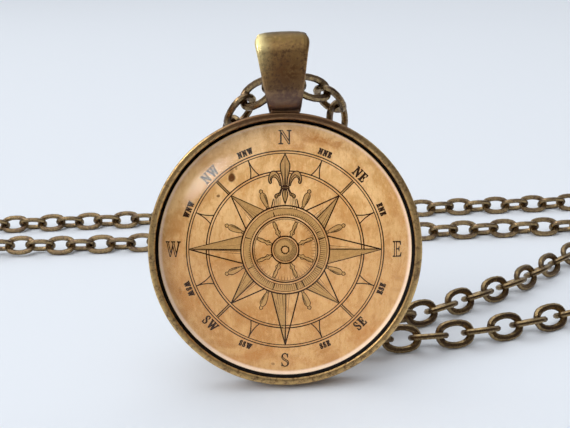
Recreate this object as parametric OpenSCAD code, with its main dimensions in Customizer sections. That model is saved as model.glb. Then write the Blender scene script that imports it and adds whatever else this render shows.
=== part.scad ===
// Compass pendant on a cable chain: a round cast tray with its bail, a printed dial,
// a domed glass cabochon, and the chain that runs through the bail.
// The pendant stands on its rim and leans back, and the chain lies behind it in a doubled loop.
// X is to the right, Y away from the viewer, Z up.

/* [Glass and dial] */
// Diameter of the glass cabochon
glass_d = 25; // [20:0.5:30]
// Height of the straight edge of the glass
glass_edge = 1.6; // [1.2:0.1:2.4]
// Rise of the dome above the edge
glass_dome = 4.2; // [3:0.1:5.5]
// Thickness of the printed dial under the glass
dial_t = 0.2; // [0.1:0.05:0.5]

/* [Tray] */
// Width of the rim seen from the front
rim_w = 0.75; // [0.6:0.05:1.2]
// Thickness of the back plate
back_t = 0.8; // [0.6:0.1:1.2]
// How far the rim stands above the shoulder of the glass
rim_proud = 0.3; // [0:0.1:0.6]
// Radius of the rounded edge round the back
back_round = 0.3; // [0.1:0.05:0.5]

/* [Bail] */
// Height of the bail above the rim
bail_h = 7.9; // [7.2:0.1:9]
// Width of the bail near its top
bail_top_w = 5.3; // [4.5:0.1:6]
// Width of the bail where it meets the rim
bail_root_w = 3.1; // [2.6:0.1:3.8]
// Depth of the bail from front to back
bail_depth = 4.8; // [4.6:0.1:5.4]
// Thickness of the metal round the eye
bail_t = 0.8; // [0.7:0.05:0.9]
// Radius of the bail's top corners
bail_corner = 0.55; // [0.3:0.05:0.8]
// How far the bail leans to the left of the dial's upright, in degrees
bail_tilt = 2.4; // [0:0.2:4]

/* [Chain] */
// Length round the whole necklace, with its clasp
chain_length = 508; // [480:1:560]
// Length of a link, outside
link_l = 4.45; // [4.2:0.05:4.8]
// Width of a link, outside
link_w = 3.1; // [3:0.05:3.3]
// Diameter of a link's wire
wire_d = 0.62; // [0.56:0.02:0.7]
// Play between two linked wires
link_play = 0.2; // [0.16:0.01:0.24]

/* [Clasp] */
// Length of the clasp's body, outside
clasp_l = 9; // [8:0.5:12]
// Width of the clasp's body
clasp_w = 4; // [3.8:0.1:4.4]
// Thickness of the clasp
clasp_t = 0.8; // [0.7:0.1:1]
// Outside diameter of the jump ring that the clasp closes on
ring_d = 4.4; // [4.2:0.1:4.8]
// Wire of the jump ring and of the clasp's eye
ring_wire = 0.7; // [0.65:0.05:0.75]

/* [Pose] */
// How far the pendant leans back from upright, in degrees
lean = 12; // [8:1:15]
// How far the pendant has rolled to the right on its rim, in degrees
rolled = 2.2; // [0:0.2:4]

/* [Hidden] */

$fn = 64;
wire_fn = 20;
link_fn = 40;

// Stack of the pendant, measured from the back of the tray.
seat_gap = 0.05;
glass_gap = 0.25;
dial_z = back_t + seat_gap;
glass_z = dial_z + dial_t + seat_gap;
glass_r = glass_d / 2;
dome_r = (glass_r * glass_r + glass_dome * glass_dome) / (2 * glass_dome);
glass_top = glass_z + glass_edge + glass_dome;
tray_h = glass_z + glass_edge + rim_proud;
tray_r = glass_r + glass_gap + rim_w;

// Eye of the bail: two round ends joined by flat sides, seen from the side.
bail_sink = 0.25;
eye_r = bail_depth / 2 - bail_t;
eye_low = tray_r + bail_depth / 2 - bail_sink;
eye_high = tray_r + bail_h - bail_depth / 2;
bail_mid = tray_h / 2;
bail_shoulder = 1.2;

// A link and its place in a run of links.
link_round = (link_w - wire_d) / 2;
link_bar = link_l - link_w;
tight_pitch = link_l - 2 * wire_d - link_play;
clearance = 0.34;

// Height of a link's centre over the surface, when its steeper neighbour leans at this angle.
function rest_z(slope) = link_round * sin(slope) + wire_d / 2;
flat_z = rest_z(45);
front_turn = 20;
front_z = rest_z(45 + front_turn) + 0.045;
half_z = rest_z(45 + front_turn / 2) + 0.02;

// A chain link at 45 degrees just clears the lower end of the eye.
link_half = link_round * sin(45);
eye_room = eye_r - wire_d / 2 - clearance;
eye_chain = eye_low + link_half - sqrt(eye_room * eye_room - link_half * link_half);

// The back edge that the pendant stands on is rounded, so it is lowered by what the round leaves.
sink = back_round * (cos(lean) + sin(lean) - 1);

// Takes a point of the pendant, seen flat with the dial's centre at the origin, to where it stands.
function turned(p, a) = [p.x * cos(a) - p.y * sin(a), p.x * sin(a) + p.y * cos(a), p.z];
function raised(p) = [
  p.x,
  (p.y + tray_r) * sin(lean) - p.z * cos(lean),
  (p.y + tray_r) * cos(lean) + p.z * sin(lean) - sink
];
function standing(p) = raised(turned(p, -rolled));
eye_flat = turned([0, eye_chain - tray_r, bail_mid], bail_tilt);
eye = standing([eye_flat.x, eye_flat.y + tray_r, eye_flat.z]);

// Places that the chain's route passes: strands, the foot of each fall and the right-hand turns.
far_y = 55.6;
near_y = 43.3;
outer_x = 72.2;
loop_x = 46;
// Each row is a corner: x, y, z, the radius of its bend, and how far the links there are turned.
function route(left_x) = [
  [eye.x, eye.y, eye.z, 0, 0],
  [eye.x - 2.2, eye.y, eye.z, 4, 0],
  [-4.7, 7, 26.5, 4.5, 0],
  [-7.2, 7.4, front_z, 6, 10],
  [3, 5, front_z, 12, front_turn],
  [19.5, 5, front_z, 45, front_turn],
  [outer_x, 28, flat_z, 14, 0],
  [outer_x, far_y, flat_z, 13, 0],
  [left_x, far_y, flat_z, 6, 0],
  [left_x, near_y, flat_z, 6, 0],
  [loop_x, near_y, flat_z, 14, 0],
  [59.7, 48.5, flat_z, 5.8, 0],
  [59.7, 34, flat_z, 6, 0],
  [42, 34, half_z, 9, -front_turn / 2],
  [28.5, 20.5, front_z, 12, -front_turn],
  [15, 11.4, front_z, 9, -front_turn],
  [7.1, 9.6, front_z, 6, 0],
  [6, 8.6, 25, 4, 0],
  [5.4, 6.6, 28.1, 4, 0],
  [eye.x + 2.2, eye.y, eye.z, 4, 0],
  [eye.x, eye.y, eye.z, 0, 0]
];

function unit(v) = v / norm(v);
function place(row) = [row.x, row.y, row.z];

// A corner of the route as an arc, each point with the corner's turn of the links.
bend_step = 8;
function bend(a, b, c) =
  let (
    u = unit(place(b) - place(a)),
    v = unit(place(c) - place(b)),
    turn = acos(min(1, max(-1, u * v))),
    n = unit(v - (u * v) * u),
    steps = max(2, ceil(turn / bend_step))
  )
  [for (i = [0 : steps])
    let (f = turn * i / steps)
    concat(place(b) - b[3] * tan(turn / 2) * u + b[3] * (sin(f) * u + (1 - cos(f)) * n), b[4])];

function curve(rows) = concat(
  [[rows[0].x, rows[0].y, rows[0].z, rows[0][4]]],
  [for (i = [1 : len(rows) - 2]) each bend(rows[i - 1], rows[i], rows[i + 1])],
  [[for (j = [0, 1, 2, 4]) rows[len(rows) - 1][j]]]
);

// Distance along a curve at each of its points.
function along(p) = [
  for (i = 0, s = 0; i < len(p); s = s + (i + 1 < len(p) ? norm(place(p[i + 1]) - place(p[i])) : 0), i = i + 1) s
];
function span(rows) = let (s = along(curve(rows))) s[len(s) - 1];

// The left-hand turn lies where it gives the necklace its length.
left_turn = -(chain_length - span(route(0))) / 2;
path = curve(route(left_turn));
path_s = along(path);
loop_l = path_s[len(path_s) - 1];
tables = [for (j = [0 : 3]) [for (i = [0 : len(path) - 1]) [path_s[i], path[i][j]]]];
function wrapped(s) = s < 0 ? s + loop_l : s > loop_l ? s - loop_l : s;
function at(s) = [for (j = [0 : 2]) lookup(wrapped(s), tables[j])];
function turn_at(s) = lookup(wrapped(s), tables[3]);

// Clasp and jump ring take up their own length of the loop, and links of one pitch fill the rest.
eye_round = ring_wire * 1.35;
clasp_bar = 1;
clasp_span = clasp_l + 2 * eye_round - ring_wire - clasp_bar - link_play;
ring_span = ring_d - 2 * ring_wire - link_play;
links = 2 * ceil((loop_l - clasp_span - ring_span) / tight_pitch / 2);
pitch = (loop_l - clasp_span - ring_span) / links;

// The clasp lies on the near strand, this far past the left-hand turn.
clasp_after = 14;
near_row = 10;
near_end = span([for (i = [0 : near_row]) route(left_turn)[i]]);
front_links = round((near_end - (loop_x - left_turn - clasp_after)) / pitch + 0.5);
clasp_s = (front_links - 0.5) * pitch;
ring_s = clasp_s + clasp_span;
back_s = ring_s + ring_span;

// A frame for whatever spans the route from s0 to s1: its long way, its flat way and its normal.
// Links that hang behind the pendant take their turn from the Y axis, those that lie from the Z axis.
hang_x = 9;
hang_y = 15;
function frame(s0, s1, roll, lift = 0) =
  let (
    a = at(s0),
    b = at(s1),
    mid = (a + b) / 2 + [0, 0, lift],
    t = unit(b - a),
    hangs = mid.x < hang_x && mid.y < hang_y,
    side = unit(cross(hangs ? [0, 1, 0] : [0, 0, 1], t)),
    over = cross(t, side),
    r = roll + turn_at((s0 + s1) / 2) + (hangs ? 90 : 0),
    flat = side * cos(r) + over * sin(r),
    n = cross(t, flat)
  )
  [
    [t.x, flat.x, n.x, mid.x],
    [t.y, flat.y, n.y, mid.y],
    [t.z, flat.z, n.z, mid.z],
    [0, 0, 0, 1]
  ];

// Puts the middle of the part's own box over the origin.
clasp_z = max((clasp_w + clasp_t) / 2 * sin(45), (ring_d - ring_wire) / 2 * sin(45) + ring_wire / 2);
box_low_x = left_turn - link_half - wire_d / 2;
box_high_x = outer_x + link_half + wire_d / 2;
box_low_y = tray_r * sin(lean) + (dome_r - glass_top) * cos(lean) - dome_r;
box_high_y = far_y + link_half + wire_d / 2;
centre = [(box_low_x + box_high_x) / 2, (box_low_y + box_high_y) / 2, 0];

module stood()
  translate([0, 0, -sink] - centre)
    rotate([90 - lean, 0, 0])
      translate([0, tray_r, 0])
        rotate([0, 0, -rolled])
          children();

module tray()
  rotate_extrude($fn = 180) {
    square([tray_r - back_round, back_t]);
    translate([0, back_round])
      square([tray_r, back_t - back_round]);
    translate([tray_r - back_round, back_round])
      circle(r = back_round);
    translate([tray_r - rim_w, back_t / 2])
      square([rim_w, tray_h - rim_w / 2 - back_t / 2]);
    translate([tray_r - rim_w / 2, tray_h - rim_w / 2])
      circle(d = rim_w);
  }

// Front outline of the bail: a taper with round top corners, wide at the shoulder.
module bail_front() {
  top = tray_r + bail_h;
  half = bail_top_w / 2;
  corner = [for (a = [0 : 15 : 90]) [half - bail_corner + bail_corner * cos(a), top - bail_corner * (1 - sin(a))]];
  side = concat([[bail_root_w / 2, tray_r - bail_sink], [half, top - bail_shoulder]], corner);
  polygon(concat(side, [for (i = [len(side) - 1 : -1 : 0]) [-side[i].x, side[i].y]]));
}

// The loop seen from its end, with this much metal round the eye.
module bail_side(metal) {
  for (y = [eye_low, eye_high])
    translate([y, 0])
      circle(r = eye_r + metal);
  translate([eye_low, -eye_r - metal])
    square([eye_high - eye_low, 2 * (eye_r + metal)]);
}

module along_x(w)
  translate([-w / 2, 0, bail_mid])
    rotate([90, 0, 90])
      linear_extrude(w)
        children();

module bail() {
  root_deep = tray_h - 2 * back_round;
  translate([0, tray_r, 0])
    rotate([0, 0, bail_tilt])
      translate([0, -tray_r, 0])
        difference() {
          union() {
            intersection() {
              translate([0, 0, bail_mid - bail_depth])
                linear_extrude(2 * bail_depth)
                  bail_front();
              along_x(2 * bail_top_w)
                bail_side(bail_t);
            }
            translate([-bail_root_w / 2, tray_r - rim_w / 2, back_round])
              cube([bail_root_w, rim_w / 2 + bail_t - bail_sink, root_deep]);
          }
          along_x(3 * bail_top_w)
            bail_side(0);
        }
}

module setting()
  color("#7d6a3c")
    stood() {
      tray();
      bail();
    }

module dial()
  color("#d9a877")
    stood()
      translate([0, 0, dial_z])
        cylinder(r = glass_r, h = dial_t, $fn = 180);

module glass()
  color("#e8f0f2", 0.4)
    stood()
      intersection() {
        translate([0, 0, glass_z])
          cylinder(r = glass_r, h = glass_edge + glass_dome, $fn = 180);
        translate([0, 0, glass_top - dome_r])
          sphere(r = dome_r, $fn = 180);
      }

// One link, lying flat along X.
module link()
  for (end = [0, 180])
    rotate([0, 0, end]) {
      translate([link_bar / 2, 0, 0])
        rotate([0, 0, -90])
          rotate_extrude(angle = 180, $fn = link_fn)
            translate([link_round, 0])
              circle(d = wire_d, $fn = wire_fn);
      translate([-link_bar / 2, link_round, 0])
        rotate([0, 90, 0])
          cylinder(d = wire_d, h = link_bar, $fn = wire_fn);
    }

// Height that the links next to the clasp gain, because the clasp is wider than they are.
lift_reach = 4 * pitch;
function lift_at(s) = (clasp_z - flat_z) * max(0, 1 - max(0, clasp_s - s, s - back_s) / lift_reach);

// Links in a run from s, numbered so that each is turned a quarter from the last.
module run(s, count, first)
  translate(-centre)
    for (i = [0 : count - 1])
      let (s0 = s + i * pitch, s1 = s0 + pitch)
        multmatrix(frame(s0, s1, (first + i) % 2 == 0 ? 45 : -45, lift_at((s0 + s1) / 2)))
          link();

module chain_front()
  color("#6f5c36")
    run(-pitch / 2, front_links, 0);

module chain_back()
  color("#86713f")
    run(back_s, links - front_links, front_links);

module clasp()
  color("#8d783f")
    translate(-centre)
      multmatrix(frame(clasp_s, ring_s, front_links % 2 == 0 ? 45 : -45, clasp_z - flat_z))
        clasp_flat();

// The clasp's body is a long closed loop, with a small eye at the chain's end.
module clasp_flat() {
  r = clasp_w / 2;
  straight = clasp_l - clasp_w;
  eye_x = (ring_wire + link_play + clasp_span) / -2 + eye_round;
  body_x = eye_x + eye_round - ring_wire / 2 + r;
  translate([body_x, 0, -clasp_t / 2])
    linear_extrude(clasp_t)
      difference() {
        union() {
          circle(r = r);
          translate([straight, 0])
            circle(r = r);
          translate([0, -r])
            square([straight, clasp_w]);
        }
        circle(r = r - clasp_bar);
        translate([straight, 0])
          circle(r = r - clasp_bar);
        translate([0, clasp_bar - r])
          square([straight, clasp_w - 2 * clasp_bar]);
      }
  translate([eye_x, 0, 0])
    rotate_extrude($fn = 48)
      translate([eye_round, 0])
        circle(d = ring_wire, $fn = 24);
}

module clasp_ring()
  color("#8d783f")
    translate(-centre)
      multmatrix(frame(ring_s, back_s, front_links % 2 == 0 ? -45 : 45, clasp_z - flat_z))
        rotate_extrude($fn = 60)
          translate([(ring_d - ring_wire) / 2, 0])
            circle(d = ring_wire, $fn = 24);

setting();
dial();
glass();
chain_front();
chain_back();
clasp();
clasp_ring();
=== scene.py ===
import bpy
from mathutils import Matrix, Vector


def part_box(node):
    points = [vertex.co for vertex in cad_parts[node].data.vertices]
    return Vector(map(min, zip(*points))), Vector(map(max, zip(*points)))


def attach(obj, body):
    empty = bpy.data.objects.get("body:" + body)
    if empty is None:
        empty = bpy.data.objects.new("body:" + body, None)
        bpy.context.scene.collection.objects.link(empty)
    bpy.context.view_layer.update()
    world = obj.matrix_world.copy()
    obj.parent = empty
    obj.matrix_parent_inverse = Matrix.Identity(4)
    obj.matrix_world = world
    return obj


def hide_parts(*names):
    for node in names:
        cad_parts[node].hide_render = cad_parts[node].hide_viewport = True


bl_info = {
    "name": "Compass pendant",
    "version": (1, 0, 0),
    "blender": (4, 5, 0),
    "location": "3D View > Sidebar > Pendant",
    "description": "Builds a compass pendant on its chain: metal, glass, printed dial",
    "category": "Object",
}

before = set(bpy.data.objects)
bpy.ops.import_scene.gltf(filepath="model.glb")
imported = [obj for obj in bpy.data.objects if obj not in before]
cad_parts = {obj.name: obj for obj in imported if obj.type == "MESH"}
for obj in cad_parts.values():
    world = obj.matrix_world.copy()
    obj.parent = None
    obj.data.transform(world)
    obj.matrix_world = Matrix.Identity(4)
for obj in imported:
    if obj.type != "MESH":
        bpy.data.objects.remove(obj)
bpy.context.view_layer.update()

import math

import bmesh
import bpy
import numpy
from bpy.props import FloatProperty, FloatVectorProperty, IntProperty, PointerProperty
from mathutils import Matrix, Vector
from mathutils.geometry import interpolate_bezier

# Everything on the pendant is drawn flat in millimetres, with the dial's centre at the
# origin, the tray's back at z 0, the front towards +Z and north towards +Y.
MM = 0.001
Z = Vector((0, 0, 1))
TRAY_R = 13.5
TRAY_H = 3.0
BACK_T = 0.8
DIAL_MID = 0.95
DIAL_TOP = 1.05
GLASS_R = 12.5
GLASS_LOW = 1.1
GLASS_TOP = 6.9
DOME_R = 20.7012
GLASS_BEND = 1.5
BAIL_TILT = 2.4
BAIL_SINK = 0.25
EYE_LOW = 15.65
EYE_HIGH = 19.0
EYE_R = 1.6
LINK_ROUND = 1.24
LINK_BAR = 1.35
WIRE_R = 0.31
LEAN = 12.0
ROLLED = 2.2

# Points nearer than this are one point.
TOUCH = 1e-4
# How high each printing lies over the paper: lines and letters, drawings, hatching.
LINES_UP = 0.006
DRAWING_UP = 0.014
HATCHING_UP = 0.023

# The camera: its place from the dial's middle in millimetres, its dip and roll in degrees.
CAMERA_FROM_DIAL = (0.124, -85.70, 28.75)
CAMERA_DIP = 16.386
CAMERA_ROLL = -2.26
CAMERA_LENS = 56.84

# Colours of single places: two on the bail, two on the dial; the last is a painted highlight.
RUST = (0.22, 0.09, 0.038)
OLIVE = (0.108, 0.068, 0.02)
BLOT = (0.11, 0.03, 0.001)
PAINTED_EDGE_GLOW = (1.0, 0.82, 0.66)


def standing_place():
    """Takes a flat point of the pendant, in millimetres, to where the pendant stands."""
    low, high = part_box("dial")
    turn = Matrix.Rotation(math.radians(90 - LEAN), 4, "X") @ Matrix.Rotation(
        math.radians(-ROLLED), 4, "Z"
    )
    origin = (low + high) / 2 - turn.to_3x3() @ Vector((0, 0, DIAL_MID * MM))
    return Matrix.Translation(origin) @ turn @ Matrix.Scale(MM, 4)


STAND = standing_place()


# ---------------------------------------------------------------- settings


# What all the lengths and all the colours in the sidebar share.
LENGTH = {"precision": 6, "subtype": "DISTANCE", "unit": "LENGTH"}
COLOUR = {"size": 3, "min": 0, "max": 1, "subtype": "COLOR"}


class PendantSizes(bpy.types.PropertyGroup):
    """Sizes of the metalwork and the glass"""

    rim_width: FloatProperty(
        name="Rim width", description="Width of the tray's rim seen from the front",
        default=0.00075, min=0.0005, max=0.0012, **LENGTH,
    )
    rim_round: FloatProperty(
        name="Rim rounding", description="Rounding of the rim's edges",
        default=0.00026, min=0.0001, max=0.00037, **LENGTH,
    )
    bail_top: FloatProperty(
        name="Bail width", description="Width of the bail at its shoulder",
        default=0.0053, min=0.0045, max=0.006, **LENGTH,
    )
    bail_root: FloatProperty(
        name="Bail root width", description="Width of the bail where it meets the rim",
        default=0.0031, min=0.0026, max=0.0038, **LENGTH,
    )
    bail_metal: FloatProperty(
        name="Bail metal", description="Thickness of the metal round the bail's eye",
        default=0.0008, min=0.0007, max=0.0009, **LENGTH,
    )
    wire: FloatProperty(
        name="Chain wire", description="Width of a link's flat-sided wire",
        default=0.00069, min=0.0005, max=0.0007, **LENGTH,
    )
    steps: IntProperty(
        name="Steps round the rim",
        description="Number of steps in a full turn of the tray and the glass",
        default=192, min=96, max=256,
    )


class PrintSizes(bpy.types.PropertyGroup):
    """Sizes of the printing on the dial"""

    line: FloatProperty(
        name="Line width", description="Width of the dial's printed lines",
        default=0.000102, min=0.00003, max=0.00015, **LENGTH,
    )
    cardinal: FloatProperty(
        name="Cardinal letters", description="Height of the letters N, E, S and W",
        default=0.0015, min=0.001, max=0.002, **LENGTH,
    )
    ordinal: FloatProperty(
        name="Ordinal letters", description="Height of the letters NE, SE, SW and NW",
        default=0.00098, min=0.0006, max=0.0013, **LENGTH,
    )
    half_wind: FloatProperty(
        name="Half-wind letters", description="Height of the smallest letters",
        default=0.00056, min=0.0003, max=0.0008, **LENGTH,
    )


class FinishColours(bpy.types.PropertyGroup):
    """Colours of the finishes"""

    brass_light: FloatVectorProperty(
        name="Brass, rubbed", description="Colour of the brass where wear keeps it bright",
        default=(0.78, 0.58, 0.26), **COLOUR,
    )
    brass: FloatVectorProperty(
        name="Brass, aged", description="Main colour of the aged brass",
        default=(0.42, 0.255, 0.105), **COLOUR,
    )
    brass_dark: FloatVectorProperty(
        name="Brass, dark", description="Colour of the dark patina",
        default=(0.17, 0.083, 0.045), **COLOUR,
    )
    # Painted shade: the colour that darkens the bail's lower part and foot.
    brass_foot_shade: FloatVectorProperty(
        name="Brass, foot of the bail",
        description="Colour of the dark brass where the bail meets the rim",
        default=(0.12, 0.075, 0.062), **COLOUR,
    )
    paper: FloatVectorProperty(
        name="Paper", description="Main colour of the dial's aged paper",
        default=(0.56, 0.306, 0.112), **COLOUR,
    )
    paper_stain: FloatVectorProperty(
        name="Paper stain", description="Colour of the tea-brown stains on the dial",
        default=(0.50, 0.20, 0.045), **COLOUR,
    )
    ink: FloatVectorProperty(
        name="Ink", description="Colour of the printed lines",
        default=(0.028, 0.009, 0.002), **COLOUR,
    )
    wash: FloatVectorProperty(
        name="Ink wash", description="Colour of the shaded halves of the rays",
        default=(0.44, 0.245, 0.082), **COLOUR,
    )
    floor: FloatVectorProperty(
        name="Floor", description="Colour of the pale floor",
        default=(0.80, 0.83, 0.87), **COLOUR,
    )


# ---------------------------------------------------------------- shaping


def lit(colour):
    """A colour as a shader takes it, with its fourth value."""
    return (colour[0], colour[1], colour[2], 1)


def tinted(colour, shares):
    """A colour with its red, green and blue each made stronger or weaker."""
    return lit([min(1.0, c * k) for c, k in zip(colour, shares)])


def spot(x, y):
    """A point in the plane of the drawing."""
    return Vector((x, y, 0))


def bearing(radius, degrees):
    """A point on the dial by its radius and its compass bearing."""
    a = math.radians(degrees)
    return spot(radius * math.sin(a), radius * math.cos(a))


def under_glass(x, y=0.0):
    """Where a point that is seen through the dome is printed: the dome draws it outwards."""
    seen = math.hypot(x, y)
    if seen < 1e-6:
        return spot(x, y)
    meets = math.asin(seen / DOME_R)
    bent = meets - math.asin(math.sin(meets) / GLASS_BEND)
    depth = GLASS_TOP - DOME_R + math.sqrt(DOME_R**2 - seen**2) - DIAL_TOP
    printed = seen - depth * math.tan(bent)
    return spot(x * printed / seen, y * printed / seen)


def wire(bm, points):
    """A run of edges through the points."""
    verts = [bm.verts.new(p) for p in points]
    return verts + [bm.edges.new(pair) for pair in zip(verts, verts[1:])]


def turned(bm, geometry, steps, degrees=360.0, centre=(0, 0, 0), axis=(0, 0, 1)):
    """Spins geometry round an axis; a full turn is closed."""
    return bmesh.ops.spin(
        bm, geom=geometry, cent=centre, axis=axis, dvec=(0, 0, 0), steps=steps,
        angle=math.radians(degrees), use_merge=abs(degrees) > 359.9,
    )


def ring_edges(bm, radius, height):
    """The edges that run round the axis at this radius and height."""
    return [
        e
        for e in bm.edges
        if all(
            abs(v.co.xy.length - radius) < 1e-3 and abs(v.co.z - height) < 1e-3
            for v in e.verts
        )
    ]


def soften(bm, edges, width, segments, worn=None):
    """Rounds edges, and marks the new faces as worn."""
    made = bmesh.ops.bevel(
        bm, geom=edges, offset=width, offset_type="OFFSET", segments=segments,
        profile=0.5, affect="EDGES", clamp_overlap=True, material=-1,
    )
    if worn is not None:
        layer = bm.faces.layers.float.get("worn") or bm.faces.layers.float.new("worn")
        for face in made["faces"]:
            if face.is_valid:
                face[layer] = worn


def settle(name, bm, finishes, smooth=38.0, merge=TOUCH, place=None):
    """Closes a shape, stands it in its place and lets it ride with the pendant."""
    bmesh.ops.remove_doubles(bm, verts=bm.verts, dist=merge)
    bmesh.ops.recalc_face_normals(bm, faces=bm.faces)
    bmesh.ops.transform(bm, matrix=STAND if place is None else place, verts=bm.verts)
    mesh = bpy.data.meshes.new(name)
    bm.to_mesh(mesh)
    bm.free()
    for finish in finishes:
        mesh.materials.append(finish)
    if smooth:
        mesh.shade_smooth()
        mesh.set_sharp_from_angle(angle=math.radians(smooth))
    piece = bpy.data.objects.new(name, mesh)
    bpy.context.scene.collection.objects.link(piece)
    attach(piece, "root")
    return piece


def raise_print(bm, height, thick=0.007):
    """Gives flat printing a film's thickness, a little above the paper."""
    bmesh.ops.remove_doubles(bm, verts=bm.verts, dist=1e-5)
    bmesh.ops.translate(bm, verts=bm.verts, vec=(0, 0, DIAL_TOP + height))
    made = bmesh.ops.extrude_face_region(bm, geom=bm.faces[:], use_keep_orig=True)
    tops = [v for v in made["geom"] if isinstance(v, bmesh.types.BMVert)]
    bmesh.ops.translate(bm, verts=tops, vec=(0, 0, thick))


def overprint(bm, strokes):
    """Prints fine strokes over a drawing."""
    raise_print(strokes, HATCHING_UP)
    mesh = bpy.data.meshes.new("strokes")
    strokes.to_mesh(mesh)
    strokes.free()
    bm.from_mesh(mesh)
    bpy.data.meshes.remove(mesh)


def settle_print(name, bm, *inks):
    """Settles printing, which keeps its flat faces."""
    finishes = [finish_called(ink) for ink in inks]
    return settle(name, bm, finishes, smooth=0, merge=1e-6)


def arc(bm, radius, width, steps=180):
    """A printed line round the dial."""
    ends = [bearing(radius + side * width / 2, 0) for side in (-1, 1)]
    turned(bm, wire(bm, ends), steps, -360.0)


def at_radius(a, b, radius):
    """Where the line from a to b crosses this radius."""
    way = b - a
    p, q = way.dot(way), a.dot(way)
    root = math.sqrt(max(0.0, q * q - p * (a.dot(a) - radius**2)))
    return a + way * ((root - q) / p)


def bar(bm, a, b, width, end=None, ink=0):
    """A straight printed line; with an end width it tapers, and at 0 it comes to a point."""
    end = width if end is None else end
    across = (b - a).normalized().cross(Z) / 2
    corners = [a - across * width, a + across * width]
    corners += [b] if end == 0 else [b + across * end, b - across * end]
    face = bm.faces.new([bm.verts.new(c) for c in corners])
    face.material_index = ink


def flowing(points, steps=5):
    """A closed outline that flows through the points. A third value of 1 keeps a corner."""
    spots = [spot(p[0], p[1]) for p in points]
    corner = [len(p) > 2 for p in points]
    line = []
    for i in range(len(spots)):
        j = (i + 1) % len(spots)
        a, b = spots[i], spots[j]
        leave = (b - a) / 3 if corner[i] else (b - spots[i - 1]) / 6
        arrive = (b - a) / 3 if corner[j] else (spots[(j + 1) % len(spots)] - a) / 6
        if corner[i] and corner[j]:
            line.append(a)
        else:
            line += interpolate_bezier(a, a + leave, b - arrive, b, steps + 1)[:-1]
    return line


def mirrored(points):
    """The same outline on the other side of the upright."""
    return [(-p[0],) + tuple(p[1:]) for p in reversed(points)]


def inset(bm, face, width):
    """Sets a face's outline in by a width, or out where the width is negative."""
    face.normal_update()
    return bmesh.ops.inset_region(
        bm, faces=[face], thickness=width, depth=0, use_boundary=True, use_even_offset=True
    )


def drawn(bm, outline, line):
    """A shape with an inked outline and its middle filled with wash."""
    face = bm.faces.new([bm.verts.new(p) for p in outline])
    inset(bm, face, line)
    face.material_index = 1


# ---------------------------------------------------------------- finishes


class Nodes:
    """Short calls for the shader nodes that the finishes, the room and the lamps share."""

    def __init__(self, tree):
        self.tree = tree

    def add(self, kind, values=None, **settings):
        node = self.tree.nodes.new("ShaderNode" + kind)
        for key, value in settings.items():
            setattr(node, key, value)
        for key, value in (values or {}).items():
            self.feed(node.inputs[key], value)
        return node

    def feed(self, socket, value):
        if isinstance(value, bpy.types.NodeSocket):
            self.tree.links.new(value, socket)
        else:
            socket.default_value = value

    def span(self, value, low, high, to_low=0.0, to_high=1.0):
        """Eases from one level to another while a value crosses a range."""
        values = {0: value, 1: low, 2: high, 3: to_low, 4: to_high}
        return self.add("MapRange", values, interpolation_type="SMOOTHSTEP").outputs[0]

    def reckon(self, operation, a, b):
        return self.add("Math", {0: a, 1: b}, operation=operation).outputs[0]

    def times(self, a, b):
        return self.reckon("MULTIPLY", a, b)

    def vector(self, operation, a, b):
        return self.add("VectorMath", {0: a, 1: b}, operation=operation).outputs[0]

    def reach(self, place):
        """How far a place is from the origin."""
        return self.add("VectorMath", {0: place}, operation="LENGTH").outputs["Value"]

    def blend(self, share, a, b, how="MIX"):
        values = {0: share, 6: a, 7: b}
        return self.add("Mix", values, data_type="RGBA", blend_type=how).outputs[2]


class Recipe(Nodes):
    """The node tree of one finish, whose colours are laid on in coats."""

    def __init__(self, name):
        self.finish = bpy.data.materials.new(name)
        self.finish.use_nodes = True
        super().__init__(self.finish.node_tree)
        self.shader = self.tree.nodes["Principled BSDF"]

    def mapped(self, place, location, rotation, scale):
        values = {
            "Vector": place, "Location": location, "Rotation": rotation, "Scale": scale,
        }
        return self.add("Mapping", values, vector_type="TEXTURE").outputs["Vector"]

    def flat(self):
        """Object coordinates laid flat on the pendant, in millimetres."""
        place = self.add("TexCoord").outputs["Object"]
        return self.mapped(place, STAND.to_translation(), STAND.to_euler("XYZ"), (MM, MM, MM))

    def noise(self, place, scale, detail=3.0, rough=0.5, wander=0.0, output=0):
        values = {
            "Vector": place, "Scale": scale, "Detail": detail, "Roughness": rough,
            "Distortion": wander,
        }
        return self.add("TexNoise", values).outputs[output]

    def stretched(self, place, x, y, z=1.0):
        return self.vector("MULTIPLY", place, (x, y, z))

    def patch(self, place, x, y, wide, tall, soft, degrees=0.0):
        """1 inside a soft oval on the dial, 0 outside it."""
        turn = (0, 0, math.radians(degrees))
        inside = self.mapped(place, (x, y, 0), turn, (wide, tall, 1000))
        return self.span(self.reach(inside), 1.0, 1.0 - soft)

    def coat(self, share, colour, how="MIX"):
        """Lays a colour over those before it, as far as its share goes."""
        self.tone = self.blend(share, self.tone, lit(colour), how)

    def surface(self, values):
        for key, value in values.items():
            self.feed(self.shader.inputs[key], value)

    def bumps(self, height, strength, distance):
        values = {"Height": height, "Strength": strength, "Distance": distance}
        self.feed(self.shader.inputs["Normal"], self.add("Bump", values).outputs[0])


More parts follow.
